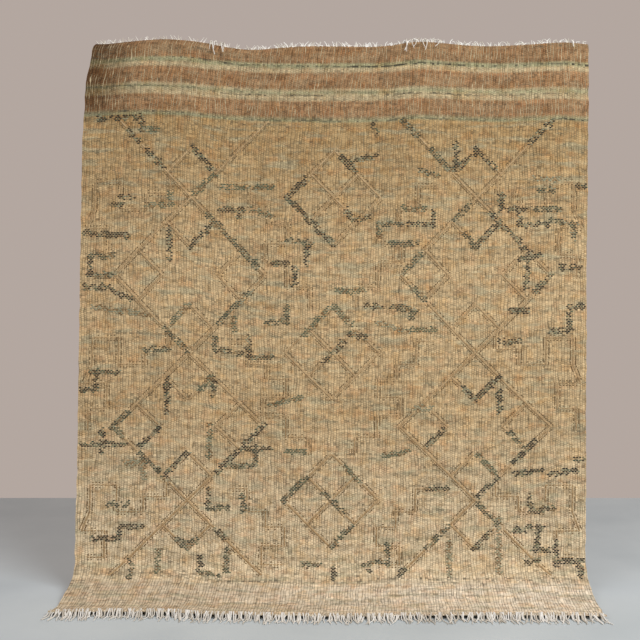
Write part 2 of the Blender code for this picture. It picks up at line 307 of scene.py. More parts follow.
def sheet_mesh(name):
    """The whole cloth as a closed mesh that keeps its flat places."""
    stations = row_stations()
    borders = [CLOTH_WIDTH * (column / SHEET_COLUMNS - 0.5) for column in range(SHEET_COLUMNS + 1)]
    flat = [
        (across, along, side)
        for side in (1.0, -1.0)
        for along in stations
        for across in borders
    ]
    points = [place(across, along, side * HALF_THICKNESS) for across, along, side in flat]
    rows = len(stations) - 1
    back = len(points) // 2
    faces = grid_faces(rows, SHEET_COLUMNS, 0, False)
    faces += grid_faces(rows, SHEET_COLUMNS, back, True)
    faces += rim_faces(rows, SHEET_COLUMNS, back)
    mesh = bpy.data.meshes.new(name)
    mesh.from_pydata(points, [], faces)
    values = mesh.attributes.new(FLAT_PLACE, "FLOAT_VECTOR", "POINT").data
    values.foreach_set("vector", [value for place_here in flat for value in place_here])
    return mesh


def link_piece(name, mesh):
    """Shows a mesh as an object at the origin."""
    piece = bpy.data.objects.new(name, mesh)
    bpy.context.scene.collection.objects.link(piece)
    return piece


rug_cloth = link_piece("rug_cloth", sheet_mesh("rug_cloth"))
rug_cloth.data.shade_smooth()
rug_cloth.data.set_sharp_from_angle(angle=math.radians(50.0))
print("sheet triangles", 2 * len(rug_cloth.data.polygons))

# %% [markdown]
# ## Tools for finishes
# A finish is a small program of nodes. Three short helpers keep the programs readable: one adds a
# node and joins its inputs, one does arithmetic, and one mixes two colours.

# %% Node helpers


def add_node(tree, kind, inputs=None, **settings):
    """Adds a node; inputs gives a number, a colour or another node's socket for each input."""
    node = tree.nodes.new(kind)
    for name, value in settings.items():
        setattr(node, name, value)
    for key, value in (inputs or {}).items():
        if isinstance(value, bpy.types.NodeSocket):
            tree.links.new(value, node.inputs[key])
        else:
            node.inputs[key].default_value = value
    return node


def calc(tree, operation, *values):
    """One step of arithmetic."""
    return add_node(tree, "ShaderNodeMath", dict(enumerate(values)), operation=operation).outputs[0]


def times(tree, first, second):
    """Multiplies two values."""
    return calc(tree, "MULTIPLY", first, second)


def mix_colours(tree, share, first, second, way="MIX"):
    """Mixes two colours by a share from 0 to 1."""
    inputs = {0: share, 6: first, 7: second}
    node = add_node(tree, "ShaderNodeMix", inputs, data_type="RGBA", blend_type=way, clamp_factor=True)
    return node.outputs[2]


def soft_step(tree, value, low, high, start=0.0, end=1.0):
    """Turns a value between low and high into one between start and end, with soft ends."""
    inputs = {"Value": value, "From Min": low, "From Max": high, "To Min": start, "To Max": end}
    node = add_node(tree, "ShaderNodeMapRange", inputs, interpolation_type="SMOOTHSTEP")
    return node.outputs["Result"]


def stretched_noise(tree, flat, across_scale, along_scale, shift, detail=2.0):
    """Soft noise on the flat cloth with its own scale each way; shift gives each use its own field."""
    stretched = add_node(tree, "ShaderNodeVectorMath", {0: flat, 1: (across_scale, along_scale, 1.0)},
                         operation="MULTIPLY")
    moved = add_node(tree, "ShaderNodeVectorMath", {0: stretched.outputs[0], 1: (shift, shift, shift)},
                     operation="ADD")
    inputs = {"Vector": moved.outputs[0], "Scale": 1.0, "Detail": detail, "Roughness": 0.55}
    return add_node(tree, "ShaderNodeTexNoise", inputs).outputs["Fac"]


def cell_value(tree, first, second, shift):
    """One chance value for each whole pair of numbers, such as one for each crossing of yarns."""
    parts = {"X": calc(tree, "FLOOR", first), "Y": calc(tree, "FLOOR", second), "Z": shift}
    cell = add_node(tree, "ShaderNodeCombineXYZ", parts)
    return add_node(tree, "ShaderNodeTexWhiteNoise", {"Vector": cell.outputs[0]}).outputs["Value"]


def shaded_by(tree, grey, base):
    """Darkens or lightens a colour by a grey value."""
    tone = add_node(tree, "ShaderNodeCombineColor", {0: grey, 1: grey, 2: grey})
    return mix_colours(tree, 1.0, base, tone.outputs[0], "MULTIPLY")


def stored(tree, name, output="Fac"):
    """Reads a value that the mesh stores."""
    return add_node(tree, "ShaderNodeAttribute", attribute_name=name).outputs[output]


def colour(red, green, blue):
    """A colour from screen values of 0 to 255."""
    return tuple(((value / 255.0 + 0.055) / 1.055) ** 2.4 for value in (red, green, blue)) + (1.0,)


def colour_steps(tree, value, stops):
    """A ramp of colours; stops are pairs of a position from 0 to 1 and a colour."""
    node = add_node(tree, "ShaderNodeValToRGB", {"Fac": value})
    ramp = node.color_ramp
    ramp.elements[0].position, ramp.elements[0].color = stops[0]
    ramp.elements[1].position, ramp.elements[1].color = stops[-1]
    for position, shade in stops[1:-1]:
        ramp.elements.new(position).color = shade
    return node.outputs["Color"]


# %% [markdown]
# ## The ground weave
# Thick jute weft goes over and under warp cords about nine millimetres apart. Seen close, that is
# rows of rounded beads with dark gaps, and here and there a pale warp cord shows between them.
# The beads come from two counts, one across and one along, whose fractions give a round profile,
# with every second column shifted by half a bead. They drive both the relief and the colour: the
# dark gaps are painted shade, darker where the beads are low.

# %% Yarn counts and relief
WARP_PITCH = 0.0093
WEFT_PITCH = 0.0072


def yarn_counts(tree, flat):
    """Counts warps across and wefts along, with the small wander of hand weaving."""
    parts = add_node(tree, "ShaderNodeSeparateXYZ", {0: flat})
    sway = stretched_noise(tree, flat, 34.0, 9.0, 3.0, 4.0)
    beat = stretched_noise(tree, flat, 9.0, 44.0, 8.0, 4.0)
    warps = calc(tree, "ADD", calc(tree, "DIVIDE", parts.outputs["X"], WARP_PITCH), times(tree, sway, 2.6))
    wefts = calc(tree, "ADD", calc(tree, "DIVIDE", parts.outputs["Y"], WEFT_PITCH), times(tree, beat, 2.2))
    return warps, wefts


def bead_profile(tree, warps, wefts):
    """Height from 0 to 1: rounded weft beads on rounded warp columns."""
    column = calc(tree, "ABSOLUTE", calc(tree, "SINE", times(tree, warps, math.pi)))
    odd = times(tree, calc(tree, "FLOORED_MODULO", calc(tree, "FLOOR", warps), 2.0), 0.5)
    row = calc(tree, "ABSOLUTE", calc(tree, "SINE", times(tree, calc(tree, "ADD", wefts, odd), math.pi)))
    round_column = calc(tree, "POWER", column, 0.6)
    round_row = calc(tree, "POWER", row, 0.7)
    height = times(tree, round_column, calc(tree, "MULTIPLY_ADD", round_row, 0.6, 0.4))
    return column, height


# %% [markdown]
# ## Bands and ground colours
# From the top the weaver changed the weft four times: brown, a pale stripe, brown, a second pale
# stripe, brown, a thin sage line, and then the sand-coloured field. A ramp over the length holds
# these changes in metres. The place where each change falls is nudged by noise, because every
# weft row of a hand-woven cloth starts a little higher or lower. Jute also changes from one ball of
# yarn to the next, so soft patches of gold, pink and sage lie over the bands. The left end of the
# bands is darker: that is painted shade, where the top corner curls back. The foot grows paler to
# the right: that is painted light, where the light falls from the right. The field grows lighter
# towards the foot, partly its own colour and partly painted light.

# %% Colours of the bands, measured from the top edge in metres
BROWN = colour(145, 114, 82)
BROWN_WARM = colour(154, 120, 86)
SAGE = colour(150, 147, 114)
CREAM = colour(180, 162, 127)
# The field grows lighter from its top down to the foot: partly the jute's own colour, partly painted light, as the
# lower face is lit more.
FIELD_TOP = colour(164, 137, 96)
FIELD_MIDDLE = colour(192, 167, 128)
FIELD_LOW = colour(213, 195, 163)
PANEL = colour(204, 188, 162)
# Painted light: the pale colour that the foot is mixed towards on its right, where the light falls.
PANEL_PAINTED_LIGHT = colour(236, 224, 204)
BAND_EDGES = (
    (0.000, BROWN), (0.0640, BROWN), (0.0655, SAGE), (0.0760, SAGE), (0.0775, CREAM), (0.0945, CREAM),
    (0.0960, BROWN_WARM), (0.1545, BROWN), (0.1560, CREAM), (0.1680, SAGE), (0.1800, CREAM),
    (0.1945, CREAM), (0.1960, BROWN_WARM), (0.2580, BROWN), (0.2600, SAGE), (0.2740, SAGE),
    (0.2760, FIELD_TOP), (0.800, FIELD_MIDDLE), (1.300, FIELD_MIDDLE), (1.750, FIELD_LOW),
    (1.880, FIELD_LOW), (1.920, PANEL), (2.140, PANEL),
)
BAND_WANDER = 0.0060

# Changes of the jute: size of the patches each way, place in the noise, strength and tint
TINTS = (
    (16.0, 19.0, 40.0, 0.30, colour(250, 222, 178)),
    (20.0, 26.0, 44.0, 0.36, colour(250, 222, 208)),
    (30.0, 40.0, 48.0, 0.45, colour(226, 212, 192)),
)
LEFT_DROP = 0.015
LEFT_DROP_FROM, LEFT_DROP_TO = -0.36, -0.48
LEFT_DROP_END = 0.60


def band_place(tree, flat):
    """The along value from 0 to 1 over the length, nudged by the weave."""
    parts = add_node(tree, "ShaderNodeSeparateXYZ", {0: flat})
    drop = soft_step(tree, parts.outputs["X"], LEFT_DROP_FROM, LEFT_DROP_TO, 0.0, LEFT_DROP)
    fading = calc(tree, "SUBTRACT", 1.0, calc(tree, "DIVIDE", parts.outputs["Y"], LEFT_DROP_END))
    lowered = times(tree, drop, calc(tree, "MAXIMUM", fading, 0.0))
    along = calc(tree, "SUBTRACT", parts.outputs["Y"], lowered)
    slow = calc(tree, "SUBTRACT", stretched_noise(tree, flat, 3.0, 2.0, 21.0), 0.5)
    quick = calc(tree, "SUBTRACT", stretched_noise(tree, flat, 90.0, 4.0, 27.0), 0.5)
    nudge = calc(tree, "MULTIPLY_ADD", slow, 3.0, quick)
    return calc(tree, "DIVIDE", calc(tree, "MULTIPLY_ADD", nudge, BAND_WANDER, along), CLOTH_LENGTH)


def ground_colour(tree, flat, warps, wefts, column, height):
    """The cloth's colour: bands, changes of yarn, pale warps, painted shade at the bands' left end and in the gaps,
    and painted light on the foot.
    """
    bands = colour_steps(tree, band_place(tree, flat), [(at / CLOTH_LENGTH, shade) for at, shade in BAND_EDGES])
    parts = add_node(tree, "ShaderNodeSeparateXYZ", {0: flat})
    across, along = parts.outputs["X"], parts.outputs["Y"]
    # Painted shade: the left end of the top bands is darkened, where the corner curls back from the light.
    painted_left_shade = times(tree, soft_step(tree, across, -0.66, -0.86), soft_step(tree, along, 0.34, 0.20))
    left_shaded_bands = mix_colours(tree, times(tree, painted_left_shade, 0.95), bands, colour(150, 138, 122), "MULTIPLY")
    # Painted light: the foot grows paler to the right, where the light falls on it.
    painted_foot_light = times(tree, soft_step(tree, across, -0.9, 0.9), soft_step(tree, along, 1.84, 1.92))
    lit_and_tinted = mix_colours(tree, times(tree, painted_foot_light, 0.75), left_shaded_bands, PANEL_PAINTED_LIGHT)
    for wide, long, shift, reach, tint in TINTS:
        patch = soft_step(tree, stretched_noise(tree, flat, wide, long, shift, 3.0), 0.50, 0.64)
        lit_and_tinted = mix_colours(tree, times(tree, patch, reach), lit_and_tinted, tint, "MULTIPLY")
    sage = soft_step(tree, stretched_noise(tree, flat, 9.0, 34.0, 52.0, 4.0), 0.50, 0.66)
    in_field = soft_step(tree, along, 0.26, 0.30, 0.12, 0.46)
    greened = mix_colours(tree, times(tree, sage, in_field), lit_and_tinted, colour(158, 158, 132))
    rows = cell_value(tree, times(tree, warps, 0.06), wefts, 5.0)
    beads = cell_value(tree, warps, times(tree, wefts, 1.0), 9.0)
    lengths = cell_value(tree, warps, times(tree, wefts, 0.16), 14.0)
    speckle = calc(tree, "MULTIPLY_ADD", beads, 0.34, times(tree, lengths, 0.22))
    shade = calc(tree, "ADD", calc(tree, "MULTIPLY_ADD", rows, 0.26, 0.58), speckle)
    # Painted shade: the colour darkens in the gaps between the beads, by a depth that wanders over the cloth.
    gap_shade_depth = soft_step(tree, stretched_noise(tree, flat, 46.0, 30.0, 71.0, 4.0), 0.38, 0.62, 0.88, 0.36)
    painted_gap_shade = soft_step(tree, height, 0.10, 0.85, gap_shade_depth, 1.14)
    grey = times(tree, shade, painted_gap_shade)
    shaded = shaded_by(tree, grey, greened)
    warp_shows = soft_step(tree, column, 0.45, 0.08)
    patchy = soft_step(tree, stretched_noise(tree, flat, 60.0, 20.0, 66.0), 0.40, 0.58)
    in_bands = soft_step(tree, along, 0.28, 0.26, 0.30, 0.90)
    pale = times(tree, times(tree, warp_shows, patchy), in_bands)
    return mix_colours(tree, pale, shaded, colour(202, 184, 148))


# %% [markdown]
# A few weft rows hold a strand of dark yarn, left over from the pattern. They show as short dark
# flecks in the pale stripes, along the thin line and over the bend near the foot. A mask picks the
# rows, and one chance value for each crossing breaks them up.

# %% Dark flecks
FLECK_ROWS = ((0.073, 0.0045, 0.34), (0.178, 0.004, 0.26), (0.268, 0.0045, 0.28), (1.868, 0.018, 0.18))


def fleck_mask(tree, flat, warps, wefts):
    """Where dark yarn shows in the fleck rows."""
    along = add_node(tree, "ShaderNodeSeparateXYZ", {0: flat}).outputs["Y"]
    chance = cell_value(tree, warps, wefts, 31.0)
    patch = stretched_noise(tree, flat, 4.0, 60.0, 77.0)
    total = soft_step(tree, times(tree, chance, patch), 0.46, 0.54, 0.0, 0.40)
    for middle, half, strength in FLECK_ROWS:
        near = soft_step(tree, calc(tree, "ABSOLUTE", calc(tree, "SUBTRACT", along, middle)), half, half * 0.5)
        broken = soft_step(tree, calc(tree, "MULTIPLY_ADD", chance, 0.5, patch), 0.74, 0.86)
        total = calc(tree, "ADD", total, times(tree, times(tree, near, broken), strength * 2))
    return total


# %% [markdown]
# The finish of the cloth joins these steps: counts, bead heights, ground colours and flecks. A bump
# node turns the bead heights into relief, with a little fine noise for the hairs of the jute. The
# two small helpers before it serve the yarn finishes too.

# %% The finish of the cloth


def start_finish(name, roughness):
    """A new material with its shader; returns both and its node tree."""
    material = bpy.data.materials.new(name)
    material.use_nodes = True
    tree = material.node_tree
    shader = tree.nodes["Principled BSDF"]
    shader.inputs["Roughness"].default_value = roughness
    shader.inputs["Specular IOR Level"].default_value = 0.22
    return material, tree, shader


def fibrous(tree, shader, picked, scale, darkest, lightest, distance, strength):
    """Gives the shader a colour with fine fibres in its shade and relief."""
    spot = add_node(tree, "ShaderNodeTexCoord").outputs["Object"]
    fibres = add_node(tree, "ShaderNodeTexNoise", {"Vector": spot, "Scale": scale, "Detail": 2.0}).outputs["Fac"]
    shaded = shaded_by(tree, soft_step(tree, fibres, 0.3, 0.7, darkest, lightest), picked)
    tree.links.new(shaded, shader.inputs["Base Color"])
    bump = add_node(tree, "ShaderNodeBump", {"Height": fibres, "Distance": distance, "Strength": strength})
    tree.links.new(bump.outputs["Normal"], shader.inputs["Normal"])


def ground_finish():
    """The finish of the woven cloth."""
    material, tree, shader = start_finish("jute_ground", 0.95)
    flat = stored(tree, FLAT_PLACE, "Vector")
    warps, wefts = yarn_counts(tree, flat)
    column, height = bead_profile(tree, warps, wefts)
    ground = ground_colour(tree, flat, warps, wefts, column, height)
    flecked = mix_colours(tree, fleck_mask(tree, flat, warps, wefts), ground, colour(74, 70, 58))
    tree.links.new(flecked, shader.inputs["Base Color"])
    hairs = stretched_noise(tree, flat, 900.0, 500.0, 90.0)
    relief = calc(tree, "MULTIPLY_ADD", hairs, 0.25, height)
    bump = add_node(tree, "ShaderNodeBump", {"Height": relief, "Distance": 0.0018, "Strength": 0.9})
    tree.links.new(bump.outputs["Normal"], shader.inputs["Normal"])
    return material


rug_cloth.data.materials.append(ground_finish())
print("ground nodes", len(rug_cloth.data.materials[0].node_tree.nodes))

# %% [markdown]
# ## Chart the pattern
# The field is a lattice of lozenges that repeats three times down the rug: two side columns whose
# lines cross, small lozenges nested at every crossing and side corner, and larger lozenges between
# them. All lines are raised yarn in the ground's colour. In some runs the weaver used sage, teal or
# near-black yarn, and short steps of the same yarns fill the spaces. The lattice and the plain
# stepped frets beside it follow a rule. The runs and steps are charted in steps of a twentieth of
# a repeat.

# %% The lattice by rule
FIELD_START = 0.272
REPEATS = 3
REPEAT_LENGTH = 0.525
CHART_STEP = REPEAT_LENGTH / 20
SIDE_COLUMN_AT = 0.493
LATTICE_HALF_WIDTH = 0.260
MIDDLE_HALF_SIZE = 0.162
NESTED_HALF_SIZE = 0.083


def lozenge(middle, half_width, half_height):
    """The four sides of a lozenge, by name; each runs from its left or right point."""
    (x, y) = middle
    left, right = (x - half_width, y), (x + half_width, y)
    top, bottom = (x, y - half_height), (x, y + half_height)
    return {"left_top": (left, top), "right_top": (right, top),
            "left_bottom": (left, bottom), "right_bottom": (right, bottom)}


def lattice_lines():
    """Every raised line, keyed by column, repeat and name, as a pair of flat places."""
    lines = {}
    half = REPEAT_LENGTH / 2
    nested = NESTED_HALF_SIZE
    for repeat in range(REPEATS):
        crossing = FIELD_START + REPEAT_LENGTH * repeat + half
        for column, x in (("L", -SIDE_COLUMN_AT), ("R", SIDE_COLUMN_AT)):
            for arm, side, rise in (("arm_ul", -1, -1), ("arm_ur", 1, -1), ("arm_ll", -1, 1), ("arm_lr", 1, 1)):
                corner = (x + side * LATTICE_HALF_WIDTH, crossing + rise * half)
                lines[column, repeat, arm] = ((x, crossing), corner)
            shapes = {
                "above": (x, crossing - nested),
                "below": (x, crossing + nested),
                "corner_left": (x - LATTICE_HALF_WIDTH + nested, crossing + half),
                "corner_right": (x + LATTICE_HALF_WIDTH - nested, crossing + half),
            }
            for name, middle in shapes.items():
                if name.startswith("corner") and repeat == REPEATS - 1:
                    continue
                for side_name, line in lozenge(middle, nested, nested).items():
                    lines[column, repeat, name + "_" + side_name] = line
        for side_name, line in lozenge((0.0, crossing), MIDDLE_HALF_SIZE, MIDDLE_HALF_SIZE).items():
            lines["M", repeat, "middle_" + side_name] = line
        quarter = MIDDLE_HALF_SIZE / 2
        for name, lean in (("inner_down", 1.0), ("inner_up", -1.0)):
            start = (-quarter, crossing - lean * quarter)
            lines["M", repeat, name] = (start, (quarter, crossing + lean * quarter))
    return lines


# A stepped fret between the columns and one along each side, in chart steps of one repeat
FRET_INNER = ((13.5, 8.5), (11, 8.5), (11, 11.5), (8.5, 11.5), (8.5, 13.5), (6, 13.5), (6, 16), (9, 16), (9, 18.5),
              (6, 18.5), (6, 21.5), (3, 21.5), (3, 24))
FRET_OUTER = ((21.5, 7), (21.5, 9.5), (24.5, 9.5), (24.5, 11.5), (28, 11.5), (28, 8), (31.5, 8), (31.5, 11.5),
              (32.5, 14), (29.5, 14), (29.5, 17.5), (32, 17.5), (32, 20.5))


def fret_lines():
    """The plain stepped frets of all repeats, mirrored on both sides."""
    lines = []
    for repeat in range(REPEATS):
        for chain in (FRET_INNER, FRET_OUTER):
            for side in (-1, 1):
                points = [
                    (side * x * CHART_STEP, FIELD_START + repeat * REPEAT_LENGTH + y * CHART_STEP)
                    for x, y in chain
                ]
                lines += list(zip(points, points[1:]))
    return [line for line in lines if line[1][1] < FIELD_START + REPEATS * REPEAT_LENGTH]


LATTICE = lattice_lines()
FRETS = fret_lines()
print("lattice lines", len(LATTICE), "fret lines", len(FRETS))

# %% [markdown]
# The runs below name a line of the lattice and the share of it that is worked in another yarn.
# Yarn codes: p pale sage, g grey green, t teal, d dark brown, n near-black blue.

# %% Runs of coloured yarn on the lattice
COLOURED_RUNS = (
    ("L", 0, "arm_ul", 0.38, 0.58, "d"), ("L", 0, "arm_ul", 0.71, 0.84, "d"), ("L", 0, "arm_ur", 0.05, 0.30, "g"),
    ("L", 0, "arm_lr", 0.22, 0.88, "t"), ("L", 0, "above_right_top", 0.20, 0.95, "n"),
    ("L", 0, "below_right_bottom", 0.10, 1.00, "n"), ("L", 1, "above_left_top", 0.30, 1.00, "g"),
    ("L", 1, "above_left_bottom", 0.00, 0.90, "t"), ("L", 1, "arm_ur", 0.38, 0.80, "t"),
    ("L", 1, "below_right_bottom", 0.00, 0.60, "g"), ("L", 1, "corner_left_left_top", 0.00, 0.60, "t"),
    ("L", 1, "corner_left_left_bottom", 0.00, 0.45, "g"), ("L", 1, "corner_left_right_bottom", 0.10, 0.80, "n"),
    ("L", 2, "arm_ul", 0.38, 0.64, "t"), ("L", 2, "above_left_top", 0.00, 1.00, "n"),
    ("L", 2, "arm_ur", 0.38, 1.00, "n"), ("L", 2, "arm_lr", 0.38, 0.50, "d"),
    ("L", 2, "below_left_bottom", 0.60, 1.00, "t"), ("L", 2, "below_right_bottom", 0.60, 1.00, "t"),
    ("R", 0, "arm_ul", 0.80, 1.00, "t"), ("R", 0, "arm_ul", 0.38, 0.62, "t"), ("R", 0, "arm_ur", 0.72, 0.98, "n"),
    ("R", 0, "above_left_top", 0.30, 1.00, "n"), ("R", 0, "above_right_top", 0.20, 1.00, "n"),
    ("R", 0, "arm_ll", 0.10, 0.28, "t"), ("R", 0, "arm_ll", 0.75, 0.95, "t"), ("R", 0, "arm_lr", 0.20, 0.78, "n"),
    ("R", 0, "below_right_bottom", 0.10, 0.90, "n"), ("R", 0, "below_left_bottom", 0.50, 1.00, "t"),
    ("R", 0, "corner_right_right_bottom", 0.00, 0.70, "d"), ("R", 0, "corner_left_left_bottom", 0.45, 1.00, "t"),
    ("R", 1, "below_left_bottom", 0.50, 1.00, "n"), ("R", 1, "below_right_bottom", 0.00, 1.00, "n"),
    ("R", 1, "corner_right_left_bottom", 0.30, 1.00, "t"), ("R", 1, "corner_left_right_bottom", 0.10, 0.80, "d"),
    ("R", 2, "arm_ur", 0.52, 0.80, "n"), ("R", 2, "arm_ur", 0.05, 0.28, "n"),
    ("R", 2, "above_right_top", 0.15, 0.85, "g"),
    ("R", 2, "arm_lr", 0.05, 0.30, "t"), ("R", 2, "arm_ll", 0.35, 0.62, "t"), ("R", 2, "arm_ll", 0.92, 1.00, "n"),
    ("R", 2, "below_right_bottom", 0.40, 1.00, "d"), ("M", 0, "middle_left_top", 0.00, 0.40, "n"),
    ("M", 0, "middle_left_bottom", 0.00, 0.70, "d"), ("M", 0, "middle_left_bottom", 0.74, 1.00, "n"),
    ("M", 0, "middle_right_top", 0.58, 0.86, "n"), ("M", 1, "middle_left_top", 0.36, 1.00, "g"),
    ("M", 1, "middle_right_top", 0.60, 0.92, "g"), ("M", 1, "inner_up", 0.30, 0.75, "d"),
    ("M", 2, "middle_left_top", 0.00, 0.46, "t"), ("M", 2, "middle_right_top", 0.40, 0.70, "g"),
    ("M", 2, "inner_down", 0.35, 0.75, "t"), ("M", 2, "middle_right_bottom", 0.55, 1.00, "t"),
)
print("coloured runs", len(COLOURED_RUNS))

# %% [markdown]
# The short steps between the lozenges are level or upright strokes. Each row gives its two ends in
# chart steps, across from the rug's middle and along from the start of the field, and its yarn.

# %% Short steps of coloured yarn
SHORT_STEPS = (
    (-31.5, 0, -25.5, 0, "d"), (-25.5, 0.5, -25.5, 1.5, "d"), (5, 0.5, 5.5, 2, "d"), (-25.5, 1.5, -23.5, 1.5, "g"),
    (16, 3, 16, 6, "n"), (1, 4.5, 2.5, 6, "n"), (3, 5, 5.5, 4.5, "d"), (11.5, 6.5, 13.5, 7, "t"),
    (26.5, 7.5, 29.5, 7.5, "p"), (-15, 8.5, -12, 8.5, "g"), (-11, 8.5, -8, 8.5, "g"), (32, 8.5, 33, 8.5, "d"),
    (27, 9, 29, 9, "t"), (-21.5, 9.5, -21.5, 11, "g"), (22, 9.5, 22, 11.5, "n"), (-28, 10, -26.5, 10, "d"),
    (-29, 11, -28, 11, "d"), (-24.5, 11, -21.5, 11, "g"), (-15, 11.5, -12, 11.5, "d"),
    (-12.5, 11.5, -12.5, 12.5, "d"), (-11, 11.5, -8, 12.5, "g"), (1.5, 11.5, 2.5, 13, "n"), (9, 11.5, 12, 11.5, "g"),
    (23, 11.5, 25, 11.5, "n"), (26.5, 11.5, 29.5, 11.5, "t"), (13, 12, 13, 13.5, "n"), (24.5, 12, 24.5, 13.5, "n"),
    (2.5, 13, 4.5, 12.5, "d"), (28.5, 13, 31.5, 13.5, "t"), (6, 13.5, 6, 15, "g"), (6.5, 13.5, 9, 13.5, "t"),
    (10, 13.5, 13, 13.5, "n"), (25, 13.5, 28, 13.5, "n"), (-21.5, 14, -21.5, 18, "n"), (31.5, 14, 31.5, 15.5, "t"),
    (-33, 14.5, -27, 15, "d"), (-6, 15.5, -3, 16, "t"), (7.5, 16, 11, 16, "t"), (-3.5, 16.5, -3.5, 18.5, "n"),
    (-32, 17.5, -29, 17.5, "t"), (-32, 17.5, -32, 20, "n"), (25.5, 17.5, 25.5, 21.5, "n"), (24.5, 18, 27, 17.5, "d"),
    (-8, 18.5, -6, 18.5, "d"), (-5, 19, -5, 21, "n"), (30, 19, 32.5, 19, "n"), (-31.5, 20, -29, 20, "t"),
    (-33, 21.5, -30, 21.5, "d"), (-29.5, 21.5, -26.5, 23, "n"), (0.5, 22, 4, 22, "g"), (-31.5, 24, -24.5, 25, "p"),
    (-6, 24, -6, 26, "t"), (4.5, 24, 6.5, 24, "d"), (8, 24, 11, 24.5, "t"), (31, 24, 33, 24, "n"),
    (10.5, 24.5, 10.5, 25.5, "t"), (23.5, 24.5, 25.5, 24.5, "d"), (31, 24.5, 31, 26.5, "n"),
    (-13, 25.5, -13, 27, "g"), (-8.5, 26, -6, 26, "t"), (6, 26, 9, 27, "p"), (10, 27, 13.5, 27, "g"),
    (28.5, 27, 31.5, 27, "n"), (2, 27.5, 4.5, 28, "d"), (-15.5, 28, -15.5, 29.5, "t"), (-11, 28, -11, 30.5, "d"),
    (22, 28.5, 24.5, 28.5, "d"), (-24.5, 29.5, -21.5, 29.5, "t"), (-15.5, 29.5, -12, 30, "d"),
    (-11, 30.5, -8, 30.5, "t"), (-31.5, 32.5, -28, 32.5, "d"), (-31, 33, -31, 35, "d"), (-21.5, 33.5, -21.5, 38, "n"),
    (-15.5, 33.5, -15.5, 35.5, "d"), (-33, 35, -31, 35, "d"), (22, 35, 22, 38, "n"), (-8, 37, -4, 36, "g"),
    (11, 37.5, 13, 37.5, "p"), (-16, 39.5, -16, 44, "g"), (-30, 40.5, -30, 43.5, "n"), (-33, 42.5, -27, 42.5, "d"),
    (-11, 43, -8, 43, "d"), (-10, 43.5, -10, 45.5, "t"), (-6, 43.5, -3.5, 43.5, "g"), (7, 44, 10, 43.5, "g"),
    (32, 44.5, 33, 44.5, "d"), (-27, 45, -24.5, 45, "p"), (-24.5, 45.5, -24.5, 47, "p"), (-14, 45.5, -10, 45.5, "t"),
    (24, 46.5, 27.5, 46, "n"), (28.5, 46.5, 32, 46, "n"), (-16, 48.5, -16, 50.5, "d"), (12.5, 48.5, 15, 48.5, "d"),
    (-11.5, 49.5, -11.5, 51.5, "t"), (26, 49.5, 26, 51.5, "d"), (-29, 50.5, -26.5, 50.5, "t"),
    (-16, 51, -13.5, 51, "t"), (26, 51.5, 29, 51, "d"), (22, 52.5, 22, 59.5, "p"), (-27.5, 53.5, -24.5, 53.5, "d"),
    (-27.5, 53.5, -27.5, 55, "n"), (26, 53.5, 27.5, 53.5, "n"), (27, 53.5, 27, 56.5, "n"), (24, 54, 25.5, 54, "n"),
    (-31, 55, -28, 55, "d"), (-20, 55.5, -17.5, 55.5, "t"), (15.5, 55.5, 15.5, 60, "p"), (29.5, 55.5, 29.5, 58.5, "n"),
    (7.5, 56, 7.5, 58.5, "t"), (-22.5, 56.5, -22.5, 59.5, "g"), (-13.5, 56.5, -13.5, 59.5, "t"),
    (26.5, 56.5, 29, 56.5, "n"), (-17, 57.5, -17, 59.5, "n"), (-26, 58, -26, 60.5, "t"), (25.5, 58, 27, 58, "d"),
    (30, 58, 33, 58, "n"), (32.5, 58, 32.5, 60, "n"), (-3.5, 58.5, -1.5, 58.5, "d"), (4.5, 58.5, 7, 58, "t"),
    (5, 58.5, 5, 59.5, "n"), (0.5, 59, 0.5, 60.5, "n"), (-17, 59.5, -14.5, 60, "t"),
)
print("short steps", len(SHORT_STEPS))

# %% [markdown]
# ## Lay the pattern yarns
# A pattern yarn is laid in as short floats: it passes over a warp, dips behind the cloth and comes
# up again a row lower, half a warp to the side. So a coloured stroke is an uneven patch of bricks.
# A plain raised line is a cord of floats that lie along it. The broken dark strands at its sides
# are painted shadow, put where the cloth dips beside the cord. The chart becomes a list of float
# places first. A dictionary with one entry for each brick keeps floats from lying on top of each
# other, and plain floats are left out where a coloured stroke already covers the line.

# %% Float places from the chart
import random

FLOAT_LENGTH = 0.0104
FLOAT_PITCH = 0.0056
FLOAT_RISE = 0.0046
STROKE_HALF_WIDTH = 0.0100
STROKE_UNEVEN = 0.0080
MISSED = 0.10
# Yarn s is painted shadow: dark strands laid at both sides of the raised cords.
YARN_CODES = {"r": 0.0, "f": 0.03, "s": 0.14, "p": 0.3, "g": 0.5, "t": 0.7, "d": 0.85, "n": 1.0}
PLAIN_LENGTH = 0.0140
SHADOW_STRAND_ASIDE = 0.0088
SHADOW_STRAND_CHANCE = 0.62
PLAIN_CLEARANCE = 0.0120
CORD_TWIST = math.radians(14.0)
CHART_SEED = 23


def distance_to(point, start, end):
    """Distance from a flat point to a stroke."""
    run = end - start
    share = min(max((point - start).dot(run) / run.length_squared, 0.0), 1.0)
    return (point - start - run * share).length


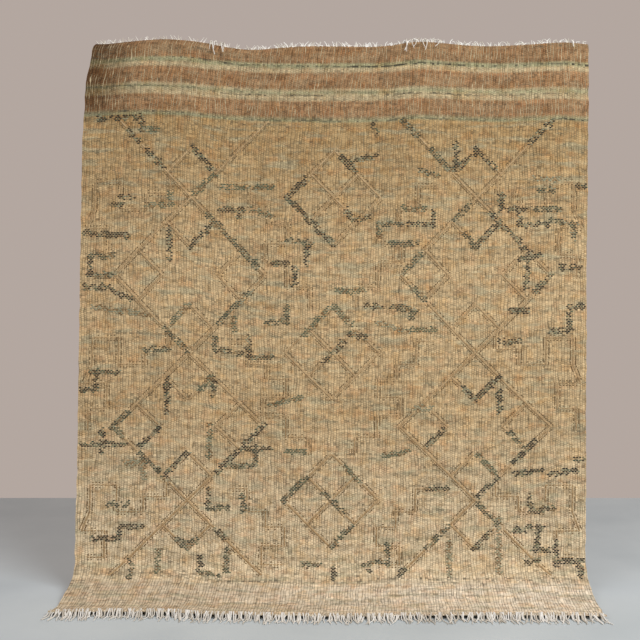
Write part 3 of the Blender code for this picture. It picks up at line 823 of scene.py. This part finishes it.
def brick_rows(start, end):
    """Every brick of the cloth's own staggered grid that lies near a stroke."""
    low_row = math.floor((min(start.y, end.y) - STROKE_HALF_WIDTH) / FLOAT_PITCH)
    high_row = math.ceil((max(start.y, end.y) + STROKE_HALF_WIDTH) / FLOAT_PITCH)
    low_column = math.floor((min(start.x, end.x) - STROKE_HALF_WIDTH) / FLOAT_LENGTH) - 1
    high_column = math.ceil((max(start.x, end.x) + STROKE_HALF_WIDTH) / FLOAT_LENGTH)
    for row in range(low_row, high_row + 1):
        for column in range(low_column, high_column + 1):
            spot = Vector(((column + 0.5 * (row % 2)) * FLOAT_LENGTH, row * FLOAT_PITCH))
            uneven = STROKE_UNEVEN * noise.noise(Vector((spot.x, spot.y, 0.0)) * 60.0)
            if distance_to(spot, start, end) < STROKE_HALF_WIDTH + uneven:
                yield (row, column), spot


def coloured_strokes():
    """The coloured strokes of the chart in flat metres, with their yarn."""
    strokes = []
    for column, repeat, name, first, last, yarn in COLOURED_RUNS:
        start, end = (Vector(corner) for corner in LATTICE[column, repeat, name])
        strokes.append((start.lerp(end, first), start.lerp(end, last), yarn))
    for across_from, along_from, across_to, along_to, yarn in SHORT_STEPS:
        start = Vector((across_from * CHART_STEP, FIELD_START + along_from * CHART_STEP))
        end = Vector((across_to * CHART_STEP, FIELD_START + along_to * CHART_STEP))
        strokes.append((start, end, yarn))
    return strokes


def plain_places(start, end):
    """Floats along a plain raised line: one for each weft row, or end to end where it is level."""
    run = end - start
    axis, step = (1, FLOAT_PITCH) if abs(run.y) > abs(run.x) * 0.5 else (0, PLAIN_LENGTH * 0.8)
    low, high = sorted((start[axis], end[axis]))
    marks = range(math.ceil(low / step), math.floor(high / step) + 1)
    return [start.lerp(end, (mark * step - start[axis]) / run[axis]) for mark in marks]


def coloured_floats():
    """The bricks of all coloured strokes, as across, along and yarn."""
    margin = CLOTH_WIDTH / 2 - FLOAT_LENGTH / 2
    draw = random.Random(CHART_SEED)
    bricks = {}
    for start, end, yarn in coloured_strokes():
        for cell, spot in brick_rows(start, end):
            if abs(spot.x) < margin and draw.random() > MISSED:
                bricks.setdefault(cell, (spot.x, spot.y, yarn, 0.0))
    return list(bricks.values())


def plain_floats(coloured):
    """The plain raised lines, with broken dark strands on both sides as painted shadow, clear of the coloured strokes.
    """
    draw = random.Random(CHART_SEED)
    near = {(round(x / PLAIN_CLEARANCE), round(y / PLAIN_CLEARANCE)) for x, y, yarn, lean in coloured}
    plain = {}
    lattice = list(LATTICE.values())
    layers = (("r", (0.0,), lattice), ("f", (0.0,), FRETS), ("s", (-SHADOW_STRAND_ASIDE, SHADOW_STRAND_ASIDE), lattice + FRETS))
    for yarn, asides, lines in layers:
        for start, end in lines:
            run = Vector(end) - Vector(start)
            normal = Vector((-run.y, run.x)).normalized()
            lean = math.atan(-run.y / run.x) if abs(run.x) > TOLERANCE else math.pi / 2
            for spot in plain_places(Vector(start), Vector(end)):
                for aside in asides:
                    x, y = spot + normal * aside
                    cell = (round(x / PLAIN_CLEARANCE), round(y / PLAIN_CLEARANCE))
                    own = (round(x / FLOAT_PITCH), round(y / FLOAT_PITCH))
                    shown = yarn != "s" or draw.random() < SHADOW_STRAND_CHANCE
                    if shown and cell not in near and abs(x) < CLOTH_WIDTH / 2 - PLAIN_LENGTH / 2:
                        plain.setdefault(own, (x, y, yarn, lean + CORD_TWIST))
    return list(plain.values())


coloured_set = coloured_floats()
plain_set = plain_floats(coloured_set)
print("coloured floats", len(coloured_set), "plain floats", len(plain_set))

# %% [markdown]
# ## Settle the pattern's rows
# The chart is even, but the weaver did not beat every row alike. And where the top edge rolls back
# more, the rows further down pull level again. So each charted place moves a little along the
# cloth: a short table gives the shift of the rows, and the path gives the height to make up.

# %% Where the pattern's rows lie on the cloth
ROW_SHIFT_COLUMNS = ("along", "shift")
ROW_SHIFT_ROWS = ((0.272, 0.0), (0.5345, 0.008), (1.0595, 0.024), (1.5845, 0.004), (1.850, 0.0))
LEVEL_SHARE_AT_TOP = 0.40


def face_level(across):
    """How high the face's rows would start without its roll, at one place across."""
    start, edge_height, roll, pieces = path_pieces(across)
    roll_length = pieces[0][0]
    return edge_height + walk_arc(roll_length, roll, LEAN)[1] + roll_length * math.cos(LEAN)


def settled(across, along):
    """The along value at which a charted place really lies."""
    level = (face_level(across) - face_level(SIDE_COLUMN_AT)) * min(1.0, LEVEL_SHARE_AT_TOP + along)
    return along + level + read_table(ROW_SHIFT_ROWS, ROW_SHIFT_COLUMNS, "along", "shift", along)


# %% [markdown]
# ## Instance the floats with Geometry Nodes
# Thousands of equal floats are a job for Geometry Nodes. A mesh of single points carries, for each
# float, the direction in which the cloth faces, its size and its yarn. The node tree makes one
# small rounded float, puts it on every point, turns it to the cloth and makes the copies real.

# %% Points for the floats
UP_LOOK = 0.004
FLOAT_SIZES = {"r": (PLAIN_LENGTH, 0.0074, 0.0070), "f": (0.0110, 0.0056, 0.0036), "s": (0.0072, 0.0048, 0.0026)}
FLOAT_SIZE = (FLOAT_LENGTH, FLOAT_PITCH, FLOAT_RISE)


def face_direction(across, along):
    """Which way the front of the cloth faces at a flat place."""
    centre = place(across, along, HALF_THICKNESS)
    right = place(across + UP_LOOK, along, HALF_THICKNESS) - centre
    down = place(across, along + UP_LOOK, HALF_THICKNESS) - centre
    return down.cross(right).normalized()


def store(mesh, name, kind, values):
    """Stores one value for each point of a mesh."""
    field = {"FLOAT": "value", "FLOAT_VECTOR": "vector"}[kind]
    flat_values = values if kind == "FLOAT" else [part for value in values for part in value]
    mesh.attributes.new(name, kind, "POINT").data.foreach_set(field, flat_values)


def float_points(floats):
    """A mesh of one point for each float, with what the node tree needs."""
    draw = random.Random(CHART_SEED)
    flat = [(across, settled(across, along), 1.0) for across, along, yarn, lean in floats]
    yarns = [yarn for across, along, yarn, lean in floats]
    mesh = bpy.data.meshes.new("float_points")
    mesh.from_pydata([place(across, along, HALF_THICKNESS) for across, along, side in flat], [], [])
    sizes = []
    for yarn in yarns:
        length, width, rise = FLOAT_SIZES.get(yarn, FLOAT_SIZE)
        sizes.append((length * draw.uniform(0.80, 1.15), width, rise * draw.uniform(0.8, 1.1)))
    store(mesh, "faces", "FLOAT_VECTOR", [face_direction(across, along) for across, along, side in flat])
    store(mesh, "size", "FLOAT_VECTOR", sizes)
    store(mesh, "lean", "FLOAT", [lean for across, along, yarn, lean in floats])
    store(mesh, "yarn", "FLOAT", [YARN_CODES[yarn] for yarn in yarns])
    store(mesh, FLAT_PLACE, "FLOAT_VECTOR", flat)
    return mesh


# %% The node tree that lays the floats


def start_tree(name, inputs):
    """A new geometry tree with named inputs; returns the tree and its input node."""
    tree = bpy.data.node_groups.new(name, "GeometryNodeTree")
    tree.interface.new_socket("Geometry", in_out="INPUT", socket_type="NodeSocketGeometry")
    for label, kind in inputs:
        tree.interface.new_socket(label, in_out="INPUT", socket_type=kind)
    tree.interface.new_socket("Geometry", in_out="OUTPUT", socket_type="NodeSocketGeometry")
    return tree, tree.nodes.new("NodeGroupInput")


def named(tree, name, kind="FLOAT"):
    """Reads a value that the points store."""
    return add_node(tree, "GeometryNodeInputNamedAttribute", {"Name": name}, data_type=kind).outputs["Attribute"]


def end_tree(tree, geometry, source):
    """Makes the copies real, shades them smooth, gives them their finish and ends the tree."""
    real = add_node(tree, "GeometryNodeRealizeInstances", {"Geometry": geometry})
    smooth = add_node(tree, "GeometryNodeSetShadeSmooth", {"Geometry": real.outputs[0]})
    finish = {"Geometry": smooth.outputs[0], "Material": source.outputs["Finish"]}
    finished = add_node(tree, "GeometryNodeSetMaterial", finish)
    add_node(tree, "NodeGroupOutput", {0: finished.outputs[0]})
    return tree


def float_tree():
    """One rounded float on each point, turned to the cloth."""
    inputs = (("Segments", "NodeSocketInt"), ("Rings", "NodeSocketInt"), ("Seed", "NodeSocketInt"),
              ("Finish", "NodeSocketMaterial"))
    tree, source = start_tree("pattern_floats", inputs)
    ball = add_node(tree, "GeometryNodeMeshUVSphere",
                    {"Segments": source.outputs["Segments"], "Rings": source.outputs["Rings"], "Radius": 0.5})
    lying = add_node(tree, "GeometryNodeTransform",
                     {"Geometry": ball.outputs["Mesh"], "Rotation": (0.0, math.radians(90.0), 0.0)})
    turn = add_node(tree, "FunctionNodeAlignRotationToVector", {"Vector": named(tree, "faces", "FLOAT_VECTOR")},
                    axis="Z", pivot_axis="X")
    swing = add_node(tree, "FunctionNodeAxisAngleToRotation",
                     {"Axis": (0.0, 0.0, 1.0), "Angle": named(tree, "lean")})
    leant = add_node(tree, "FunctionNodeRotateRotation",
                     {"Rotation": turn.outputs[0], "Rotate By": swing.outputs[0]}, rotation_space="LOCAL")
    copies = add_node(tree, "GeometryNodeInstanceOnPoints", {
        "Points": source.outputs["Geometry"], "Instance": lying.outputs[0],
        "Rotation": leant.outputs[0], "Scale": named(tree, "size", "FLOAT_VECTOR"),
    })
    chance = add_node(tree, "FunctionNodeRandomValue", {"Seed": source.outputs["Seed"]}, data_type="FLOAT")
    kept = add_node(tree, "GeometryNodeStoreNamedAttribute", {
        "Geometry": copies.outputs[0], "Name": "chance", "Value": chance.outputs["Value"],
    }, data_type="FLOAT", domain="INSTANCE")
    return end_tree(tree, kept.outputs[0], source)


def run_tree(name, points, tree, values):
    """Runs a geometry tree on a mesh and returns the result as a plain object."""
    carrier = link_piece(name + "_points", points)
    modifier = carrier.modifiers.new(name, "NODES")
    modifier.node_group = tree
    for socket in tree.interface.items_tree:
        if socket.in_out == "INPUT" and socket.name in values:
            modifier[socket.identifier] = values[socket.name]
    carrier.update_tag()
    graph = bpy.context.evaluated_depsgraph_get()
    mesh = bpy.data.meshes.new_from_object(carrier.evaluated_get(graph))
    bpy.data.objects.remove(carrier)
    mesh.name = name
    piece = link_piece(name, mesh)
    print(name, "triangles", sum(len(face.vertices) - 2 for face in mesh.polygons))
    return piece


# %% [markdown]
# The yarn's finish reads the two stored values. The yarn code picks a colour from a ramp, and the
# chance value moves each float a little up or down that ramp, so that dark runs keep the salt and
# pepper look of hand-spun yarn. Fine noise along the yarn gives it fibres.

# %% Finish of the pattern yarns
# The dark brown at 0.14 is painted shadow: the colour of the strands beside the raised cords.
YARN_COLOURS = (
    (0.00, colour(198, 171, 131)), (0.08, colour(170, 142, 104)), (0.14, colour(108, 86, 60)),
    (0.22, colour(134, 112, 80)), (0.30, colour(160, 160, 136)), (0.48, colour(108, 114, 90)),
    (0.68, colour(66, 84, 74)), (0.84, colour(68, 60, 48)), (1.00, colour(36, 42, 44)),
)


def float_finish():
    """Yarn whose colour follows its code, with fibres."""
    material, tree, shader = start_finish("pattern_yarn", 0.93)
    yarn = stored(tree, "yarn")
    chance = stored(tree, "chance")
    plain = calc(tree, "LESS_THAN", yarn, 0.2)
    kept = calc(tree, "MAXIMUM", soft_step(tree, chance, 0.04, 0.60, 0.26, 1.0), plain)
    lift = times(tree, chance, 0.08)
    picked = colour_steps(tree, calc(tree, "MULTIPLY_ADD", yarn, kept, lift), YARN_COLOURS)
    fibrous(tree, shader, picked, 700.0, 0.78, 1.12, 0.0008, 0.6)
    return material


lay_floats = float_tree()
pattern_yarn = float_finish()
coloured_pattern = run_tree("coloured_pattern", float_points(coloured_set), lay_floats,
                            {"Segments": 6, "Rings": 3, "Seed": 5, "Finish": pattern_yarn})
raised_lines_and_shadow_strands = run_tree("raised_lines_and_shadow_strands", float_points(plain_set), lay_floats,
                        {"Segments": 6, "Rings": 3, "Seed": 6, "Finish": pattern_yarn})

# %% [markdown]
# ## Loose warp ends
# At both ends of the cloth the warp yarns are left loose. At the foot they drop off the slightly
# raised edge, rest on the floor and splay. At the top most are worn to a short fuzz, and a few long
# ones flop over the face. Each strand is a chain of points worked out here. A second node tree
# turns every chain into a thin tube that tapers to its tip.

# %% Chains of points for the front fringe
STRAND_RADIUS = 0.0027
FRONT_STRANDS = 520
FRONT_REACH = 0.050
TIP_RADIUS_SHARE = 0.45
FRONT_SEED = 41
FACE_ROOT_CHANCE = 0.5
FACE_ROOT = (0.004, 0.014)
REACH_SPREAD = (0.30, 1.20)
SPLAY_SPREAD = (-0.015, 0.015)
CORNER_SPLAY = 0.010
CORNER_FROM = 0.80
FALL_SPREAD = (0.30, 0.55)
WAVE_SPREAD = (-0.0055, 0.0055)
TURN_SPREAD = (0.8, 2.2)
FRONT_STEPS = 6


def front_strand(across, draw):
    """A strand that leaves the front edge, falls to the floor and lies on it."""
    over_face = draw.random() < FACE_ROOT_CHANCE
    start = draw.uniform(*FACE_ROOT)
    root = place(across, CLOTH_LENGTH - (start if over_face else 0.003), HALF_THICKNESS if over_face else 0.0)
    lip = place(across, CLOTH_LENGTH, HALF_THICKNESS + STRAND_RADIUS)
    reach = FRONT_REACH * draw.uniform(*REACH_SPREAD)
    cornered = max(0.0, abs(across) - CORNER_FROM) / (CLOTH_WIDTH / 2 - CORNER_FROM)
    splay = draw.uniform(*SPLAY_SPREAD) + CORNER_SPLAY * cornered * math.copysign(1, across)
    rest = -FLOOR_DROP + STRAND_RADIUS
    fall = draw.uniform(*FALL_SPREAD)
    wave = draw.uniform(*WAVE_SPREAD)
    turns = draw.uniform(*TURN_SPREAD) * math.pi
    chain = [root, lip] if over_face else [root]
    base = chain[-1]
    for step in range(1, FRONT_STEPS + 1):
        share = step / FRONT_STEPS
        dropped = eased(min(share / fall, 1.0))
        sway = splay * share + wave * math.sin(share * turns)
        chain.append(Vector((base.x + sway, base.y - reach * share, base.z + (rest - base.z) * dropped)))
    return chain


def clumped_places(count, width, draw, gap_chance):
    """Places across for strands, drawn together in clumps with a few gaps."""
    places = []
    for number in range(count):
        even = width * ((number + 0.5) / count - 0.5)
        pull = 0.008 * math.sin(number * 0.9 + 2.0 * math.sin(number * 0.23))
        if draw.random() > gap_chance:
            places.append(even + pull + draw.uniform(-0.0015, 0.0015))
    return [spot for spot in places if abs(spot) < width / 2 - 0.002]


def front_chains():
    """All strands of the front fringe."""
    draw = random.Random(FRONT_SEED)
    return [front_strand(across, draw) for across in clumped_places(FRONT_STRANDS, CLOTH_WIDTH, draw, 0.18)]


# %% Chains of points for the top fringe
TOP_STRANDS = 560
TOP_REACH = 0.017
FUZZ_SPREAD = (0.1, 1.0)
FUZZ_DRIFT = (-0.016, 0.016)
FLOP_DRIFT = (-0.030, 0.030)
FLOP_SWAY = 0.45

# The way of a long end: share of the depth from root to face, and share of its fall
FLOP_PATH = ((0.0, 0.0), (-0.25, -0.35), (0.15, -0.14), (0.62, -0.08), (0.95, 0.12), (1.05, 0.55), (1.0, 1.0))

# Long ends: place across and reach
FLOPS = (
    (-0.470, 0.030), (-0.455, 0.024), (-0.442, 0.042), (-0.428, 0.030), (-0.414, 0.026), (0.216, 0.030),
    (0.230, 0.036), (0.244, 0.022), (0.262, 0.028), (0.290, 0.034), (0.304, 0.026), (0.318, 0.020), (0.820, 0.018),
)
TOP_SEED = 57


def top_fuzz(across, draw):
    """A short end that stands out of the top edge."""
    heading = side_path(across, 0.0)[2]
    root = place(across, 0.003, 0.0)
    outward = Vector((0.0, math.sin(heading), math.cos(heading)))
    crest = max(place(across, 0.010 * step, HALF_THICKNESS).z for step in range(8))
    tip = crest + TOP_REACH * draw.uniform(*FUZZ_SPREAD)
    drift = draw.uniform(*FUZZ_DRIFT)
    middle = root + outward * 0.006 + Vector((drift * 0.3, 0.0, (tip - root.z) * 0.4))
    return [root, middle, Vector((root.x + drift, middle.y - 0.004, tip))]


def top_flop(across, reach, draw):
    """A long end that goes back, turns up over the top edge and hangs down the face."""
    surface = [place(across, 0.010 * step, HALF_THICKNESS) for step in range(10)]
    over = max(point.z for point in surface) + STRAND_RADIUS
    root = place(across, 0.003, 0.0)
    ahead = min(point.y for point in surface) - STRAND_RADIUS * 1.4
    drift = draw.uniform(*FLOP_DRIFT)
    return [
        Vector((root.x + drift * math.sin(step * FLOP_SWAY), root.y + (ahead - root.y) * depth_share,
                over - reach * fall if step else root.z))
        for step, (depth_share, fall) in enumerate(FLOP_PATH)
    ]


def top_chains():
    """All strands of the top edge."""
    draw = random.Random(TOP_SEED)
    chains = [top_fuzz(across, draw) for across in clumped_places(TOP_STRANDS, CLOTH_WIDTH, draw, 0.35)]
    return chains + [top_flop(across, reach, draw) for across, reach in FLOPS]


# %% The node tree that turns chains into yarn


def chain_mesh(name, chains, draw):
    """A mesh of chains of points, with a radius and a tone for each point."""
    points, edges, radii, tones = [], [], [], []
    for chain in chains:
        first = len(points)
        points += chain
        edges += [(first + step, first + step + 1) for step in range(len(chain) - 1)]
        size = STRAND_RADIUS * draw.uniform(0.75, 1.2)
        last = len(chain) - 1
        radii += [size * (1.0 + (TIP_RADIUS_SHARE - 1.0) * step / last) for step in range(len(chain))]
        tones += [draw.random()] * len(chain)
    mesh = bpy.data.meshes.new(name)
    mesh.from_pydata(points, edges, [])
    store(mesh, "thickness", "FLOAT", radii)
    store(mesh, "chance", "FLOAT", tones)
    return mesh


def strand_tree():
    """Every chain of edges becomes a closed tube of its own thickness."""
    inputs = (("Sides", "NodeSocketInt"), ("Finish", "NodeSocketMaterial"))
    tree, source = start_tree("loose_ends", inputs)
    chains = add_node(tree, "GeometryNodeMeshToCurve", {"Mesh": source.outputs["Geometry"]})
    sized = add_node(tree, "GeometryNodeSetCurveRadius",
                     {"Curve": chains.outputs[0], "Radius": named(tree, "thickness")})
    section = add_node(tree, "GeometryNodeCurvePrimitiveCircle",
                       {"Resolution": source.outputs["Sides"], "Radius": 1.0})
    radius = add_node(tree, "GeometryNodeInputRadius")
    tubes = add_node(tree, "GeometryNodeCurveToMesh", {
        "Curve": sized.outputs[0], "Profile Curve": section.outputs[0], "Fill Caps": True,
    })
    if "Scale" in tubes.inputs:
        tree.links.new(radius.outputs[0], tubes.inputs["Scale"])
    return end_tree(tree, tubes.outputs[0], source)


WARP_COLOURS = ((0.0, colour(206, 198, 184)), (0.4, colour(232, 227, 218)), (1.0, colour(250, 248, 244)))


def strand_finish():
    """Undyed cotton warp: off-white, dry, with darker fibres."""
    material, tree, shader = start_finish("warp_yarn", 0.9)
    picked = colour_steps(tree, stored(tree, "chance"), WARP_COLOURS)
    fibrous(tree, shader, picked, 900.0, 0.82, 1.06, 0.0006, 0.5)
    return material


warp_yarn = strand_finish()
loose_ends = strand_tree()
front_fringe = run_tree("front_fringe", chain_mesh("front_fringe", front_chains(), random.Random(3)), loose_ends,
                        {"Sides": 5, "Finish": warp_yarn})
top_fringe = run_tree("top_fringe", chain_mesh("top_fringe", top_chains(), random.Random(4)), loose_ends,
                      {"Sides": 5, "Finish": warp_yarn})

# %% [markdown]
# ## Floor and light
# The rug stands on a plain pale floor that ends behind it. The light is plain and soft: one large
# lamp from the front and a little to the right, one from the left to fill, and an even surround.
# The surround is seen behind the floor's end.

# %% Floor
FLOOR_BACK = 1.34


def floor_mesh():
    """A flat floor just under the rug."""
    mesh = bpy.data.meshes.new("studio_floor")
    corners = [(-7.0, -7.0), (7.0, -7.0), (7.0, FLOOR_BACK), (-7.0, FLOOR_BACK)]
    mesh.from_pydata([(x, y, -FLOOR_DROP) for x, y in corners], [], [(0, 1, 2, 3)])
    return mesh


def floor_finish():
    """Pale painted concrete with faint clouds."""
    material, tree, shader = start_finish("pale_floor", 0.6)
    spot = add_node(tree, "ShaderNodeTexCoord").outputs["Object"]
    clouds = add_node(tree, "ShaderNodeTexNoise", {"Vector": spot, "Scale": 1.6, "Detail": 5.0}).outputs["Fac"]
    shades = ((0.3, colour(186, 196, 202)), (0.7, colour(204, 213, 218)))
    tree.links.new(colour_steps(tree, clouds, shades), shader.inputs["Base Color"])
    return material


studio_floor = link_piece("studio_floor", floor_mesh())
studio_floor.data.materials.append(floor_finish())

# %% Lights


def soft_lamp(name, spot, aim, size, power, tint):
    """A large square lamp that looks at a point."""
    data = bpy.data.lights.new(name, "AREA")
    data.size = size
    data.energy = power
    data.color = tint
    lamp = bpy.data.objects.new(name, data)
    lamp.location = spot
    lamp.rotation_euler = (Vector(aim) - Vector(spot)).to_track_quat("-Z", "Y").to_euler()
    bpy.context.scene.collection.objects.link(lamp)
    return lamp


soft_lamp("key_lamp", (2.5, -3.1, 2.0), (0.0, -0.2, -1.2), 3.0, 168.0, (0.97, 1.0, 1.0))
soft_lamp("fill_lamp", (-3.0, -3.4, 1.6), (0.0, -0.2, -1.1), 3.0, 50.0, (0.94, 0.98, 1.0))
surround = bpy.data.worlds.new("surround")
surround.use_nodes = True
surround.node_tree.nodes["Background"].inputs["Color"].default_value = colour(204, 190, 182)
surround.node_tree.nodes["Background"].inputs["Strength"].default_value = 0.75
bpy.context.scene.world = surround

# %% [markdown]
# ## Join the looks to the solid model
# Each piece rides on the one body. The solid parts that the cloth and the fringes stand for are
# hidden, so that only these fine pieces show.

for piece, node, slot in (
    (rug_cloth, "woven_cloth", "woven_jute"),
    (front_fringe, "lower_fringe", "warp_ends"),
    (top_fringe, "upper_fringe", "warp_ends"),
):
    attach(piece, "root")
    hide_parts(node)
for piece in (coloured_pattern, raised_lines_and_shadow_strands):
    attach(piece, "root")
